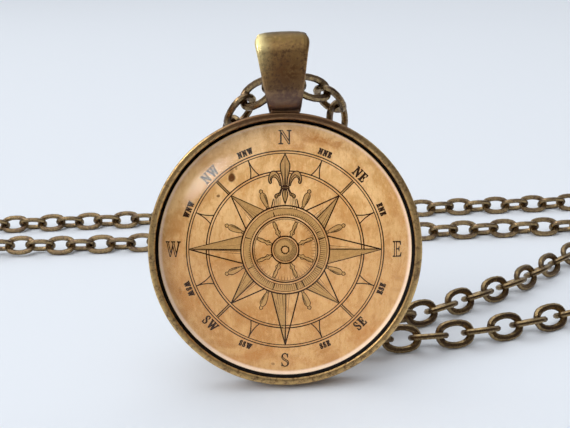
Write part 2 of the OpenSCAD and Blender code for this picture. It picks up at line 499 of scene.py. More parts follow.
def aged_brass(name, colours, deep, tint, shine, cast, gold):
    """Brass with a brown patina in cloudy patches, rubbed bright in places."""
    r = Recipe(name)
    place = r.flat()
    clouds = r.noise(place, 0.55, 4, 0.6, 0.4)
    grain = r.noise(place, 3.2, 4, 0.65)
    specks = r.noise(place, 9.0, 2, 0.6)
    mixed = r.reckon("ADD", r.times(clouds, 0.45), r.times(grain, 0.55))
    dark = tinted(colours.brass_dark, tint)
    r.tone = r.blend(r.span(mixed, 0.38, 0.56), dark, tinted(colours.brass, deep))
    bright = r.span(mixed, 0.66 - 0.2 * gold, 0.86 - 0.2 * gold, 0.0, 0.75)
    r.coat(bright, colours.brass_light)
    r.coat(r.span(specks, 0.60, 0.72, 0.0, 0.45), dark)
    edge = r.add("Attribute", attribute_name="worn").outputs["Fac"]
    r.coat(r.times(edge, r.span(grain, 0.34, 0.56, 0.25, 0.8)), colours.brass_light)
    if cast:
        # A highlight is painted over the bail's left shoulder; the bail is rusty on its front
        # and olive over its top. Painted shade darkens its foot, and the rim below it is
        # darkened too.
        split = r.add("SeparateXYZ", {0: place})
        x, y = split.outputs["X"], split.outputs["Y"]
        # Painted highlight: the left shoulder is lightened where the light from the left falls
        # on it.
        shoulder = r.times(r.span(x, -0.9, -2.5), r.span(y, 16.0, 20.0))
        shoulder = r.times(shoulder, r.span(grain, 0.3, 0.55, 0.5, 1.0))
        r.coat(shoulder, tinted(colours.brass_light, (1.2, 1.35, 1.45)))
        rust = r.patch(place, 0.3, 17.2, 2.2, 2.1, 0.8)
        r.coat(r.times(rust, r.span(grain, 0.42, 0.54, 0.1, 0.75)), RUST)
        over = r.times(r.span(y, 18.8, 20.6, 0.0, 0.9), r.span(x, -3.0, -1.6))
        r.coat(r.times(over, r.span(grain, 0.38, 0.54, 0.7, 1.0)), OLIVE)
        # Painted shade: the bail's lower part and foot are darkened to stand for the shadow
        # that falls there.
        foot = r.times(r.span(y, 17.6, 14.4, 0.0, 0.85), r.span(y, 13.45, 13.7))
        r.coat(foot, colours.brass_foot_shade)
        rim = r.times(r.span(y, 10.0, 12.8, 0.0, 0.85), r.span(y, 13.7, 13.45))
        r.coat(rim, colours.brass_dark)
    rough = r.span(mixed, 0.35, 0.7, shine + 0.13, shine - 0.05)
    r.surface({"Base Color": r.tone, "Metallic": 1.0, "Roughness": rough})
    height = r.reckon("ADD", r.times(grain, 0.7), r.times(specks, 0.3))
    r.bumps(height, 0.35, 0.00006)
    return r.finish


def painted_seat_shade(name):
    """The seat inside the tray, painted near black as shade, so that it shows as a dark line
    round the glass.
    """
    r = Recipe(name)
    grain = r.noise(r.flat(), 4.0, 3, 0.6)
    tone = r.blend(r.span(grain, 0.35, 0.7), (0.002, 0.002, 0.002, 1), (0.007, 0.005, 0.004, 1))
    r.surface({"Base Color": tone, "Roughness": 0.9, "Specular IOR Level": 0.05})
    return r.finish


def clear_glass(name, gloss):
    """Clear glass that lets the lamps through to the dial; glued glass has no gloss."""
    r = Recipe(name)
    r.surface({
        "Roughness": r.span(r.noise(r.flat(), 2.0, 2), 0.3, 0.7, 0.0, 0.012),
        "Transmission Weight": 1.0,
        "IOR": GLASS_BEND,
        "Base Color": (1, 1, 1, 1),
        "Specular Tint": (gloss, gloss, gloss, 1),
    })
    shadow = r.add("LightPath").outputs["Is Shadow Ray"]
    clear = r.add("BsdfTransparent").outputs[0]
    mix = r.add("MixShader", {0: shadow, 1: r.shader.outputs[0], 2: clear})
    r.feed(r.tree.nodes["Material Output"].inputs["Surface"], mix.outputs[0])
    return r.finish


def aged_paper(name, colours):
    """Tan parchment: mottled, faintly streaked from top to bottom, with stains and blots."""
    r = Recipe(name)
    place = r.flat()
    swirl = r.vector("SUBTRACT", r.noise(place, 0.9, output=1), (0.5, 0.5, 0.5))
    loose = r.vector("ADD", place, r.stretched(swirl, 1.6, 1.6, 1.6))
    near = r.vector("ADD", place, r.stretched(swirl, 0.25, 0.25, 0.25))
    clouds = r.noise(place, 0.28, 4, 0.6, 0.6)
    fibres = r.noise(r.stretched(place, 3.4, 0.5), 1.0, 5, 0.65)
    grain = r.noise(place, 7.0, 3, 0.6)
    mottle = r.noise(r.stretched(place, 1.2, 0.7), 1.1, 5, 0.7, 0.6)
    flecks = r.noise(r.stretched(place, 1.5, 0.8), 2.3, 5, 0.75, 0.5)
    stain = colours.paper_stain
    light = tinted(colours.paper, (1.17, 1.24, 1.36))
    deep = tinted(colours.paper, (0.86, 0.74, 0.58))
    r.tone = r.blend(r.span(clouds, 0.40, 0.60), deep, light)
    r.coat(r.span(fibres, 0.35, 0.70, 0.0, 0.45), colours.paper)
    r.coat(r.span(fibres, 0.54, 0.70, 0.0, 0.40), stain)
    r.coat(r.span(flecks, 0.52, 0.64, 0.0, 0.55), stain)
    r.coat(r.span(flecks, 0.48, 0.36, 0.0, 0.45), light)
    r.coat(r.span(mottle, 0.46, 0.38, 0.0, 0.45), deep)
    r.coat(r.span(mottle, 0.54, 0.62, 0.0, 0.50), light)
    # Painted light: the paper is made paler towards the top, as light falls more brightly
    # there.
    height = r.add("SeparateXYZ", {0: loose}).outputs["Y"]
    r.coat(r.span(height, -1.5, 7.0, 0.0, 0.9), (1.38, 1.55, 1.78), "MULTIPLY")
    r.coat(r.times(r.patch(loose, -4.8, -3.6, 3.0, 2.4, 0.8), 0.6), light)
    # Soft stains: x, y, half width, half height, turn in degrees, depth.
    patchy = r.span(r.noise(place, 1.3, 4, 0.65, 0.8), 0.36, 0.62, 0.25, 1.0)
    for x, y, wide, tall, degrees, depth in (
        (3.6, 10.3, 4.4, 0.9, -18, 0.95), (1.4, 9.6, 1.3, 1.0, 0, 0.5),
        (-3.8, -10.4, 5.4, 0.9, 19, 0.75), (2.4, -10.9, 3.2, 0.5, -10, 0.4),
        (7.8, -8.2, 1.2, 2.4, -42, 0.6), (-10.4, -0.6, 2.0, 5.0, -2, 0.35),
        (-9.6, -4.6, 1.0, 2.2, 25, 0.35), (10.6, 3.8, 0.8, 3.4, 16, 0.45),
        (4.9, 3.2, 1.8, 1.2, 30, 0.15), (5.6, -4.6, 1.6, 2.2, 20, 0.2),
    ):
        share = r.patch(loose, x, y, wide, tall, 0.8, degrees)
        r.coat(r.times(r.times(share, patchy), depth), stain)
    # Small brown blots: x, y, half width, half height, depth.
    for x, y, wide, tall, depth in (
        (-4.88, 6.62, 0.40, 0.50, 1.0), (-4.95, 7.35, 0.26, 0.5, 0.35),
        (-6.1, 4.95, 0.2, 0.17, 0.8), (-4.5, 7.5, 0.16, 0.2, 0.45),
        (-1.15, -11.0, 0.22, 0.2, 0.5), (-9.9, -3.9, 0.18, 0.5, 0.25),
    ):
        r.coat(r.times(r.patch(near, x, y, wide, tall, 0.4), depth), BLOT)
    # Painted highlight: a pale ring round the paper's cut edge stands for the glow of light at
    # the glass's edge.
    away = r.reach(r.stretched(place, 1, 1, 0))
    r.coat(r.span(away, 11.68, 12.02, 0.0, 0.75), PAINTED_EDGE_GLOW)
    r.coat(r.span(grain, 0.3, 0.75, 0.0, 0.12), deep)
    r.surface({"Base Color": r.tone, "Roughness": 0.8, "Specular IOR Level": 0.2})
    r.bumps(grain, 0.12, 0.00003)
    return r.finish


def printing(name, colour, depth=0.5):
    """Ink that soaked unevenly into the paper."""
    r = Recipe(name)
    share = r.span(r.noise(r.flat(), 5.0, 3, 0.6), 0.45, 0.75, 0.0, depth)
    tone = r.blend(share, lit(colour), tinted(colour, (1.35, 1.35, 1.35)))
    r.surface({"Base Color": tone, "Roughness": 0.75, "Specular IOR Level": 0.15})
    return r.finish


def finish_called(name):
    """A finish that more than one operator uses is made once."""
    made = bpy.data.materials.get(name)
    if made:
        return made
    colours = bpy.context.scene.pendant_colours
    if name == "setting_brass":
        return aged_brass(name, colours, (1.25, 1.22, 1.15), (0.95, 1, 1), 0.33, True, 0.5)
    if name == "seat_painted_shade":
        return painted_seat_shade(name)
    if name == "chain_brass":
        return aged_brass(
            name, colours, (0.56, 0.62, 0.76), (0.66, 0.88, 1.2), 0.24, False, 0.35
        )
    if name == "dial_ink":
        return printing(name, colours.ink)
    if name == "dial_wash":
        return printing(name, colours.wash, 0.8)
    raise ValueError("no finish is called " + name)


def put_finish(node, finish):
    """Gives a CAD node its finish."""
    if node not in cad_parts:
        raise ValueError("no CAD node is called " + node)
    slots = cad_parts[node].data.materials
    if slots:
        for index in range(len(slots)):
            slots[index] = finish
    else:
        slots.append(finish)


# ---------------------------------------------------------------- metal and glass


def make_tray(sizes):
    """The cast tray: a turned profile with rounded edges, and its seat painted near black as
    shade.
    """
    bm = bmesh.new()
    inside = TRAY_R - sizes.rim_width / MM
    rounding, back_rounding = sizes.rim_round / MM, 0.3
    back_wear, edge_wear, face_wear = 0.4, 0.6, 0.4
    profile = [
        (0, 0, 0), (TRAY_R, 0, 0), (TRAY_R, 0, TRAY_H), (inside, 0, TRAY_H),
        (inside, 0, BACK_T), (0, 0, BACK_T),
    ]
    turned(bm, wire(bm, profile), sizes.steps)
    bmesh.ops.remove_doubles(bm, verts=bm.verts, dist=TOUCH)
    soften(bm, ring_edges(bm, TRAY_R, 0), back_rounding, 5, back_wear)
    for radius in (TRAY_R, inside):
        soften(bm, ring_edges(bm, radius, TRAY_H), rounding, 6, edge_wear)
    worn = bm.faces.layers.float["worn"]
    for face in bm.faces:
        place = face.calc_center_median()
        if place.z > TRAY_H - 0.01:
            face[worn] = face_wear
        # Painted shade: the seat inside the rim gets the near-black finish, for the dark gap
        # round the glass.
        if place.z > BACK_T - 0.01 and place.xy.length < inside + 0.03:
            face.material_index = 1
    piece = settle("tray", bm, [finish_called("setting_brass"), finish_called("seat_painted_shade")])
    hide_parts("setting")
    return piece


def make_bail(sizes):
    """A loop of strip metal, wide at its shoulder, seen from the side as a long eye."""
    bm = bmesh.new()
    metal = sizes.bail_metal / MM
    middle = TRAY_H / 2
    top = EYE_HIGH + EYE_R + metal
    half, root = sizes.bail_top / MM / 2, sizes.bail_root / MM / 2
    foot, shoulder = TRAY_R - BAIL_SINK, top - 1.2
    corner = Vector((1.25, 0.95))
    crown, thinning = 0.1, 0.3
    for radius in (EYE_R + metal, EYE_R):
        bmesh.ops.create_circle(bm, cap_ends=False, segments=72, radius=radius)
    for v in bm.verts:
        if v.co.y > TOUCH:
            v.co.y += EYE_HIGH - EYE_LOW
    bmesh.ops.bridge_loops(bm, edges=bm.edges[:])
    lay = Matrix(((0, 0, 1, 0), (0, 1, 0, EYE_LOW), (-1, 0, 0, middle), (0, 0, 0, 1)))
    bmesh.ops.transform(bm, matrix=lay, verts=bm.verts)
    # The loop's outline is drawn out across the bail, from one side at -1 to the other at 1.
    bmesh.ops.translate(bm, verts=bm.verts, vec=(-1, 0, 0))
    stations = (-0.8, -0.45, 0.0, 0.45, 0.8, 1.0)
    faces, here = bm.faces[:], -1.0
    for station in stations:
        made = bmesh.ops.extrude_face_region(
            bm, geom=faces, use_keep_orig=station == stations[0]
        )
        faces = [g for g in made["geom"] if isinstance(g, bmesh.types.BMFace)]
        verts = [g for g in made["geom"] if isinstance(g, bmesh.types.BMVert)]
        bmesh.ops.translate(bm, verts=verts, vec=(station - here, 0, 0))
        here = station

    def outward(v):
        nearest = min(max(v.co.y, EYE_LOW), EYE_HIGH)
        return Vector((0, v.co.y - nearest, v.co.z - middle))

    sides = [
        e
        for e in bm.edges
        if all(abs(abs(v.co.x) - 1) < TOUCH for v in e.verts)
        and abs(e.verts[0].co.x - e.verts[1].co.x) < TOUCH
        and e.calc_face_angle(0) > 1.2
    ]
    outer = [e for e in sides if outward(e.verts[0]).length > EYE_R + metal / 2]
    inner = [e for e in sides if e not in set(outer)]
    # The bail crowns gently across its width, thins towards both ends, narrows from the
    # shoulder to the foot, and rounds off at its top corners.
    for v in bm.verts:
        out = outward(v)
        along = (v.co.y - (EYE_LOW + EYE_HIGH) / 2) / (top - EYE_LOW)
        v.co.z = middle + (v.co.z - middle) * (1 - thinning * along**2)
        if out.length > EYE_R + metal / 2:
            v.co -= out.normalized() * crown * abs(v.co.x) ** 2.5
        width = root + (half - root) * min(1.0, max(0.0, (v.co.y - foot) / (shoulder - foot)))
        over = 0.93 * (v.co.y - (top - corner.y)) / corner.y
        if over > 0:
            width -= (1 - math.sqrt(max(0.0, 1 - over**2))) * corner.x
        v.co.x *= width
    soften(bm, outer, width=0.42, segments=7, worn=0.35)
    soften(bm, inner, width=0.14, segments=3, worn=0.2)
    # The block of solder that joins the bail to the rim.
    made = bmesh.ops.create_cube(bm, size=1)
    solder = [root * 2 - 0.3, 0.9, TRAY_H - 0.7]
    bmesh.ops.scale(bm, verts=made["verts"], vec=solder)
    bmesh.ops.translate(bm, verts=made["verts"], vec=(0, TRAY_R + 0.02, middle))
    edges = list({e for v in made["verts"] for e in v.link_edges})
    soften(bm, edges, width=0.15, segments=3, worn=0.3)
    tilt = (
        Matrix.Translation((0, TRAY_R, 0))
        @ Matrix.Rotation(math.radians(BAIL_TILT), 4, "Z")
        @ Matrix.Translation((0, -TRAY_R, 0))
    )
    bmesh.ops.transform(bm, matrix=tilt, verts=bm.verts)
    piece = settle("bail", bm, [finish_called("setting_brass")], smooth=45.0)
    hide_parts("setting")
    return piece


def link_places(node):
    """Where each link of a CAD chain lies: its long way, its flat way and its middle."""
    bm = bmesh.new()
    bm.from_mesh(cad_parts[node].data)
    bmesh.ops.remove_doubles(bm, verts=bm.verts, dist=1e-7)
    met, places = set(), []
    for first in bm.verts:
        if first in met:
            continue
        met.add(first)
        link, todo = [], [first]
        while todo:
            v = todo.pop()
            link.append(v.co[:])
            for e in v.link_edges:
                other = e.other_vert(v)
                if other not in met:
                    met.add(other)
                    todo.append(other)
        co = numpy.array(link)
        middle = (co.max(0) + co.min(0)) / 2
        ways = numpy.linalg.eigh(numpy.cov((co - middle).T))[1]
        long, flat = Vector(ways[:, 2]), Vector(ways[:, 1])
        turn = Matrix((long, flat, long.cross(flat))).transposed().to_4x4()
        places.append(Matrix.Translation(middle) @ turn @ Matrix.Scale(MM, 4))
    bm.free()
    return places


def make_chain(node, sizes):
    """Oval links of flat-sided wire, laid where the CAD chain's links lie."""
    one = bmesh.new()
    half, bevel, steps, rubbed = sizes.wire / MM / 2, 0.19, 20, 0.22
    middle = LINK_ROUND + WIRE_R - half
    corners = [(half, WIRE_R - bevel), (half - bevel, WIRE_R)]
    corners += [(-x, y) for x, y in reversed(corners)]
    corners += [(-x, -y) for x, y in corners]
    section = wire(one, [(middle + x, 0, y) for x, y in corners])
    section.append(one.edges.new((section[7], section[0])))
    turned(one, section, steps)
    for v in one.verts:
        reach = max(-1.0, min(1.0, v.co.x / LINK_ROUND))
        v.co.x += LINK_BAR / 2 * math.sin(math.pi / 2 * reach)
    bmesh.ops.remove_doubles(one, verts=one.verts, dist=TOUCH)
    bmesh.ops.recalc_face_normals(one, faces=one.faces)
    # The slanting facets are rubbed a little brighter than the flats.
    worn = one.faces.layers.float.new("worn")
    for face in one.faces:
        face[worn] = rubbed if 0.3 < abs(face.normal.z) < 0.9 else 0.0
    pattern = bpy.data.meshes.new("link")
    one.to_mesh(pattern)
    one.free()
    bm = bmesh.new()
    for place in link_places(node):
        before = len(bm.verts)
        bm.from_mesh(pattern)
        bm.verts.ensure_lookup_table()
        bmesh.ops.transform(bm, matrix=place, verts=bm.verts[before:])
    bpy.data.meshes.remove(pattern)
    piece = settle(
        node + "_links", bm, [finish_called("chain_brass")],
        smooth=40.0, merge=1e-8, place=Matrix.Identity(4),
    )
    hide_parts(node)
    return piece


def make_glass(sizes):
    """The domed glass, turned, with its underside glued to the dial."""
    bm = bmesh.new()
    dome_steps, low_rounding, high_rounding = 30, 0.12, 0.16
    dome_middle = GLASS_TOP - DOME_R
    tip = bm.verts.new((0, 0, GLASS_TOP))
    sweep = math.degrees(math.asin(GLASS_R / DOME_R))
    made = turned(bm, [tip], dome_steps, sweep, centre=(0, 0, dome_middle), axis=(0, 1, 0))
    shoulder = [g for g in made["geom_last"] if isinstance(g, bmesh.types.BMVert)][0]
    foot = bm.verts.new((GLASS_R, 0, GLASS_LOW))
    middle = bm.verts.new((0, 0, GLASS_LOW))
    bm.edges.new((shoulder, foot))
    bm.edges.new((foot, middle))
    turned(bm, bm.verts[:] + bm.edges[:], sizes.steps)
    bmesh.ops.remove_doubles(bm, verts=bm.verts, dist=TOUCH)
    soften(bm, ring_edges(bm, GLASS_R, GLASS_LOW), low_rounding, 3)
    high = dome_middle + math.sqrt(DOME_R**2 - GLASS_R**2)
    soften(bm, ring_edges(bm, GLASS_R, high), high_rounding, 4)
    for face in bm.faces:
        if face.calc_center_median().z < GLASS_LOW + 1e-3:
            face.material_index = 1
    finishes = [clear_glass("dome_glass", 0.4), clear_glass("glued_glass", 0.0)]
    piece = settle("glass_dome", bm, finishes, smooth=50.0)
    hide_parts("glass")
    return piece


# ---------------------------------------------------------------- printing on the dial

# Outlines of the four dial letters at a height of 1, each with its width. A third value
# of 1 keeps a corner; an outline without any is all corners.
LETTERS = {
    "N": (
        0.98,
        [
            (0, 0), (0.36, 0), (0.36, 0.07), (0.24, 0.10), (0.24, 0.72), (0.74, 0),
            (0.86, 0), (0.86, 0.90), (0.98, 0.93), (0.98, 1), (0.62, 1), (0.62, 0.93),
            (0.75, 0.90), (0.75, 0.34), (0.30, 1), (0, 1), (0, 0.93), (0.12, 0.90),
            (0.12, 0.10), (0, 0.07),
        ],
    ),
    "E": (
        0.76,
        [
            (0, 0), (0.72, 0), (0.76, 0.28), (0.69, 0.28), (0.60, 0.09), (0.35, 0.09),
            (0.35, 0.46), (0.48, 0.46), (0.52, 0.34), (0.58, 0.34), (0.58, 0.68),
            (0.52, 0.68), (0.48, 0.55), (0.35, 0.55), (0.35, 0.91), (0.58, 0.91),
            (0.65, 0.74), (0.72, 0.74), (0.70, 1), (0, 1), (0, 0.93), (0.11, 0.90),
            (0.11, 0.10), (0, 0.07),
        ],
    ),
    "W": (
        1.30,
        [
            (0, 1), (0, 0.93), (0.09, 0.90), (0.35, 0), (0.46, 0), (0.64, 0.56),
            (0.82, 0), (0.93, 0), (1.21, 0.90), (1.30, 0.93), (1.30, 1), (0.98, 1),
            (0.98, 0.93), (1.08, 0.90), (0.92, 0.36), (0.76, 0.90), (0.84, 0.93),
            (0.84, 1), (0.48, 1), (0.48, 0.93), (0.57, 0.90), (0.60, 0.80), (0.46, 0.36),
            (0.29, 0.90), (0.36, 0.93), (0.36, 1),
        ],
    ),
    "S": (
        0.62,
        [
            (0.52, 0.98, 1), (0.52, 0.68, 1), (0.47, 0.68, 1), (0.40, 0.88),
            (0.27, 0.94), (0.17, 0.87), (0.16, 0.75), (0.25, 0.64), (0.42, 0.53),
            (0.56, 0.41), (0.60, 0.24), (0.50, 0.06), (0.32, -0.02), (0.19, 0.00),
            (0.10, 0.06, 1), (0.07, 0.02, 1), (0.02, 0.02, 1), (0.02, 0.34, 1),
            (0.07, 0.34, 1), (0.15, 0.13), (0.30, 0.05), (0.42, 0.12), (0.45, 0.25),
            (0.36, 0.37), (0.18, 0.48), (0.05, 0.60), (0.02, 0.77), (0.10, 0.94),
            (0.27, 1.02), (0.38, 1.00), (0.45, 0.95, 1), (0.48, 0.98, 1),
        ],
    ),
}


def write_word(
    bm, word, centre, height, degrees, narrow=1.0, bold=0.0, inline=0.0, gap=0.16
):
    """Sets a word of dial letters about its centre. Inline letters keep only their outline."""
    wide = sum(LETTERS[c][0] for c in word) + gap * (len(word) - 1)
    pen = -wide / 2
    place = (
        Matrix.Translation(centre)
        @ Matrix.Rotation(math.radians(degrees), 4, "Z")
        @ Matrix.Diagonal((height * narrow, height, height, 1))
    )
    for letter in word:
        width, outline = LETTERS[letter]
        if len(outline[0]) == 2:
            outline = [(x, y, 1) for x, y in outline]
        points = [place @ (p + spot(pen, -0.5)) for p in flowing(outline)]
        face = bm.faces.new([bm.verts.new(p) for p in points])
        if inline:
            inset(bm, face, inline)
            bmesh.ops.delete(bm, geom=[face], context="FACES")
        elif bold:
            made = inset(bm, face, -bold)
            bmesh.ops.delete(bm, geom=made["faces"], context="FACES")
        pen += width + gap


def upright(degrees):
    """The turn that keeps a word the right way up at its bearing."""
    return -degrees if degrees < 90 or degrees > 270 else 180 - degrees


def make_letters(sizes):
    """Three rows of letters, each on its own ring as it is seen through the glass."""
    bm = bmesh.new()
    half_winds = ("NNE", "ENE", "ESE", "SSE", "SSW", "WSW", "WNW", "NNW")
    rows = (
        (11.08, 0, sizes.cardinal, "NESW", {"narrow": 0.84, "inline": 0.09}),
        (10.46, 45, sizes.ordinal, ("NE", "SE", "SW", "NW"), {"narrow": 0.72, "bold": 0.028}),
        (10.28, 22.5, sizes.half_wind, half_winds, {"narrow": 0.66, "bold": 0.042, "gap": 0.3}),
    )
    for seen, first, height, words, style in rows:
        ring = under_glass(seen).x
        for step, word in enumerate(words):
            degrees = first + 360 / len(words) * step
            turn = upright(degrees) if first else 0
            write_word(bm, word, bearing(ring, degrees), height / MM, turn, **style)
    raise_print(bm, LINES_UP)
    piece = settle_print("dial_letters", bm, "dial_ink")
    return piece


def make_rose(sizes):
    """Two double rings, sixteen winds: rays with one half shaded, spokes and thorns."""
    bm = bmesh.new()
    line = sizes.line / MM
    outer, outer_in = under_glass(9.74).x, under_glass(9.50).x
    inner, inner_in = under_glass(7.77).x, under_glass(7.52).x
    for radius in (outer, outer_in, inner, inner_in):
        arc(bm, radius, line * (1.1 if radius in (outer, inner) else 0.85))
    hub, valley, spoke_half, spoke_wash = 3.98, 3.55, 0.085, 0.10
    for step in range(8):
        straight = step % 2 == 0
        b = 45 * step
        tip = bearing(outer_in - 0.02 if straight else inner_in, b)
        heart = bearing(hub, b)
        left, right = [at_radius(bearing(valley, b + s), tip, hub) for s in (-22.5, 22.5)]
        if b == 0:
            # North stops under the lily, so only its foot shows at both sides.
            for side in (-1, 1):
                foot = at_radius(bearing(valley, 22.5 * side), tip, hub)
                bar(bm, foot, foot.lerp(tip, 0.16), line)
            continue
        face = bm.faces.new([bm.verts.new(p) for p in (heart, right, tip)])
        face.material_index = 1
        # Engraved lines fan out from the tip over the shaded half.
        for share in (0.2, 0.4, 0.6, 0.8):
            start = heart.lerp(right, share)
            bar(bm, start, start.lerp(tip, 0.55 + 0.3 * (1 - share)), line * 0.5, 0)
        for share in (0.12, 0.3):
            start = heart.lerp(left, share)
            bar(bm, start, start.lerp(tip, 0.6), line * 0.4, 0)
        for side in (left, right):
            bar(bm, side, tip, line * 1.15)
        bar(bm, heart, tip, line * (1.3 if straight else 1.0))
        if not straight:
            across = bearing(spoke_half, b + 90)
            far, near = bearing(outer_in, b), bearing(inner, b)
            for side in (-1, 1):
                bar(bm, near + across * side, far + across * side, line)
            bar(bm, near, far, spoke_wash, ink=1)
    for step in range(8):
        b = 45 * step + 22.5
        for side in (-1, 1):
            # Each thorn side is a run of short bars that hollows towards the tip.
            points = []
            for share in (0, 0.15, 0.3, 0.45, 0.6, 0.8, 1):
                half = 0.37 * (1 - share) ** 2.3 + 0.05 * (1 - share)
                along = inner + (outer_in - inner) * share
                points.append(bearing(along, b) + bearing(half * side, b + 90))
            for a, c in zip(points, points[1:]):
                bar(bm, a, c, line * 0.95)
    raise_print(bm, LINES_UP)
    piece = settle_print("dial_rose", bm, "dial_ink", "dial_wash")
    return piece


def make_lily():
    """The fleur-de-lis that marks north, drawn as it is seen through the glass."""
    bm = bmesh.new()
    leaf = [
        (0, 9.55, 1), (0.26, 9.02), (0.52, 8.38), (0.44, 7.6), (0.29, 6.9),
        (0.26, 6.28, 1), (-0.26, 6.28, 1), (-0.29, 6.9), (-0.44, 7.6), (-0.52, 8.38),
        (-0.26, 9.02),
    ]
    petal = [
        (0.30, 6.28, 1), (0.37, 6.8), (0.52, 7.3), (0.80, 7.68), (1.18, 7.80),
        (1.50, 7.60), (1.66, 7.15), (1.66, 6.72), (1.48, 6.48), (1.28, 6.62),
        (1.30, 6.9), (1.16, 7.12), (0.92, 7.02), (0.70, 6.70), (0.55, 6.28, 1),
    ]
    band = [
        (-0.42, 6.28, 1), (0.42, 6.28, 1), (0.45, 6.12), (0.42, 5.98, 1),
        (-0.42, 5.98, 1), (-0.45, 6.12),
    ]
    foot = [
        (-0.2, 5.98, 1), (0.2, 5.98, 1), (0.32, 5.5), (0.2, 4.95), (0, 4.42, 1),
        (-0.2, 4.95), (-0.32, 5.5),
    ]
    curl = [
        (0.24, 5.98, 1), (0.46, 5.98, 1), (0.62, 5.66), (0.88, 5.54), (1.06, 5.36),
        (1.00, 5.10), (0.80, 5.06), (0.66, 5.24), (0.46, 5.36), (0.36, 5.66),
    ]
    for shape in (leaf, petal, mirrored(petal), band, foot, curl, mirrored(curl)):
        drawn(bm, [under_glass(p.x, p.y) for p in flowing(shape)], 0.1)
    raise_print(bm, DRAWING_UP)
    veins = bmesh.new()
    # Each stroke runs from a point to a point, with its width at both.
    strokes = [
        ((0, 6.4), (0, 9.2), 0.16, 0), ((0.16, 6.5), (0.26, 8.1), 0.07, 0),
        ((-0.2, 6.5), (-0.3, 8.2), 0.05, 0), ((0, 5.9), (0, 4.7), 0.12, 0),
        ((-0.4, 6.13), (0.4, 6.13), 0.05, 0.05),
    ]
    for side in (-1, 1):
        strokes += [
            ((0.40 * side, 6.35), (0.66 * side, 7.12), 0.05, 0.07),
            ((0.66 * side, 7.12), (0.98 * side, 7.42), 0.07, 0.08),
            ((0.98 * side, 7.42), (1.38 * side, 7.20), 0.08, 0.06),
            ((1.38 * side, 7.20), (1.50 * side, 6.66), 0.09, 0.05),
            ((0.4 * side, 5.9), (0.62 * side, 5.46), 0.06, 0.05),
            ((0.62 * side, 5.46), (0.92 * side, 5.26), 0.06, 0.05),
            # Hatched collar below the lily.
            ((0.98 * side, 5.02), (1.14 * side, 3.98), 0.06, 0.05),
            ((0.84 * side, 5.02), (0.94 * side, 4.05), 0.04, 0.03),
            ((0.68 * side, 5.08), (0.72 * side, 4.08), 0.04, 0.03),
            ((0.50 * side, 5.20), (0.50 * side, 4.10), 0.03, 0.02),
        ]
    for a, b, wide, end in strokes:
        bar(veins, under_glass(*a), under_glass(*b), wide, end)
    overprint(bm, veins)
    piece = settle_print("dial_lily", bm, "dial_ink", "dial_wash")
    return piece


def make_helm(sizes):
    """A ship's wheel at the heart of the rose, engraved in ink and wash."""
    bm = bmesh.new()
    line = sizes.line / MM
    count, steps = 8, 96
    turns = [
        Matrix.Rotation(math.radians(-360 / count * (step + 0.5)), 4, "Z")
        for step in range(count)
    ]
    # The wheel's printed rings and its two bands of wash: radius and width.
    for radius, width in (
        (3.98, 0.13), (3.76, 0.05), (3.14, 0.05), (2.92, 0.12), (2.76, 0.04),
        (1.22, 0.12), (1.02, 0.05), (0.34, 0.14),
    ):
        arc(bm, radius, width, steps)
    for radius, width in ((3.45, 0.56), (0.66, 0.62)):
        edge = wire(bm, [bearing(radius - width / 2, 0), bearing(radius + width / 2, 0)])
        before = set(bm.faces)
        turned(bm, edge, steps)
        for face in set(bm.faces) - before:
            face.material_index = 1
    spoke = [
        (-0.12, 1.28, 1), (0.12, 1.28, 1), (0.13, 1.45), (0.25, 1.66), (0.14, 1.9),
        (0.19, 2.25), (0.13, 2.7, 1), (-0.13, 2.7, 1), (-0.19, 2.25), (-0.14, 1.9),
        (-0.25, 1.66), (-0.13, 1.45),
    ]
    grip = [
        (-0.17, 4.05, 1), (0.17, 4.05, 1), (0.13, 4.22), (0.19, 4.38), (0.28, 4.85),
        (0.29, 5.3), (0.15, 5.56), (0.2, 5.74), (0, 5.92), (-0.2, 5.74),
        (-0.15, 5.56), (-0.29, 5.3), (-0.28, 4.85), (-0.19, 4.38), (-0.13, 4.22),
    ]
    for turn in turns:
        for shape in (spoke, grip):
            drawn(bm, [turn @ p for p in flowing(shape)], 0.06)
        for x, y in ((0.27, 3.14), (-0.27, 3.14)):
            bar(bm, turn @ spot(x, y), turn @ spot(x * 1.25, 3.76), line * 0.8)
    raise_print(bm, DRAWING_UP)
    # Hatching: close on the side away from the light, open on the lit side.
    hatch = bmesh.new()
    for step in range(120):
        b = 3 * step + 1.5
        away = 0.5 - 0.5 * math.cos(math.radians(b - 315))
        bar(hatch, bearing(3.17, b), bearing(3.22 + 0.5 * away, b), 0.045, 0.02)
        if step % 2 == 0:
            bar(hatch, bearing(0.98, b), bearing(0.9 - 0.42 * away, b), 0.04, 0.015)
            bar(hatch, bearing(2.72, b), bearing(2.68 - 0.5 * away, b), 0.035, 0)
    for turn in turns:
        for x, low, high in ((0.11, 4.4, 5.4), (0.18, 4.6, 5.3), (0.07, 1.5, 2.5)):
            bar(hatch, turn @ spot(x, low), turn @ spot(x, high), 0.05, 0.03)
        for y in (4.2, 5.56):
            bar(hatch, turn @ spot(-0.14, y), turn @ spot(0.14, y), 0.045)
    overprint(bm, hatch)
    piece = settle_print("dial_helm", bm, "dial_ink", "dial_wash")
    return piece


# ---------------------------------------------------------------- stage


def make_floor(scene):
    """A plain pale floor, well past the camera's view."""
    bm = bmesh.new()
    bmesh.ops.create_grid(bm, x_segments=1, y_segments=1, size=4)
    mesh = bpy.data.meshes.new("floor")
    bm.to_mesh(mesh)
    bm.free()
    floor = bpy.data.objects.new("floor", mesh)
    scene.collection.objects.link(floor)
    r = Recipe("pale_floor")
    colour = lit(scene.pendant_colours.floor)
    r.surface({"Base Color": colour, "Roughness": 0.9, "Specular IOR Level": 0.1})
    mesh.materials.append(r.finish)


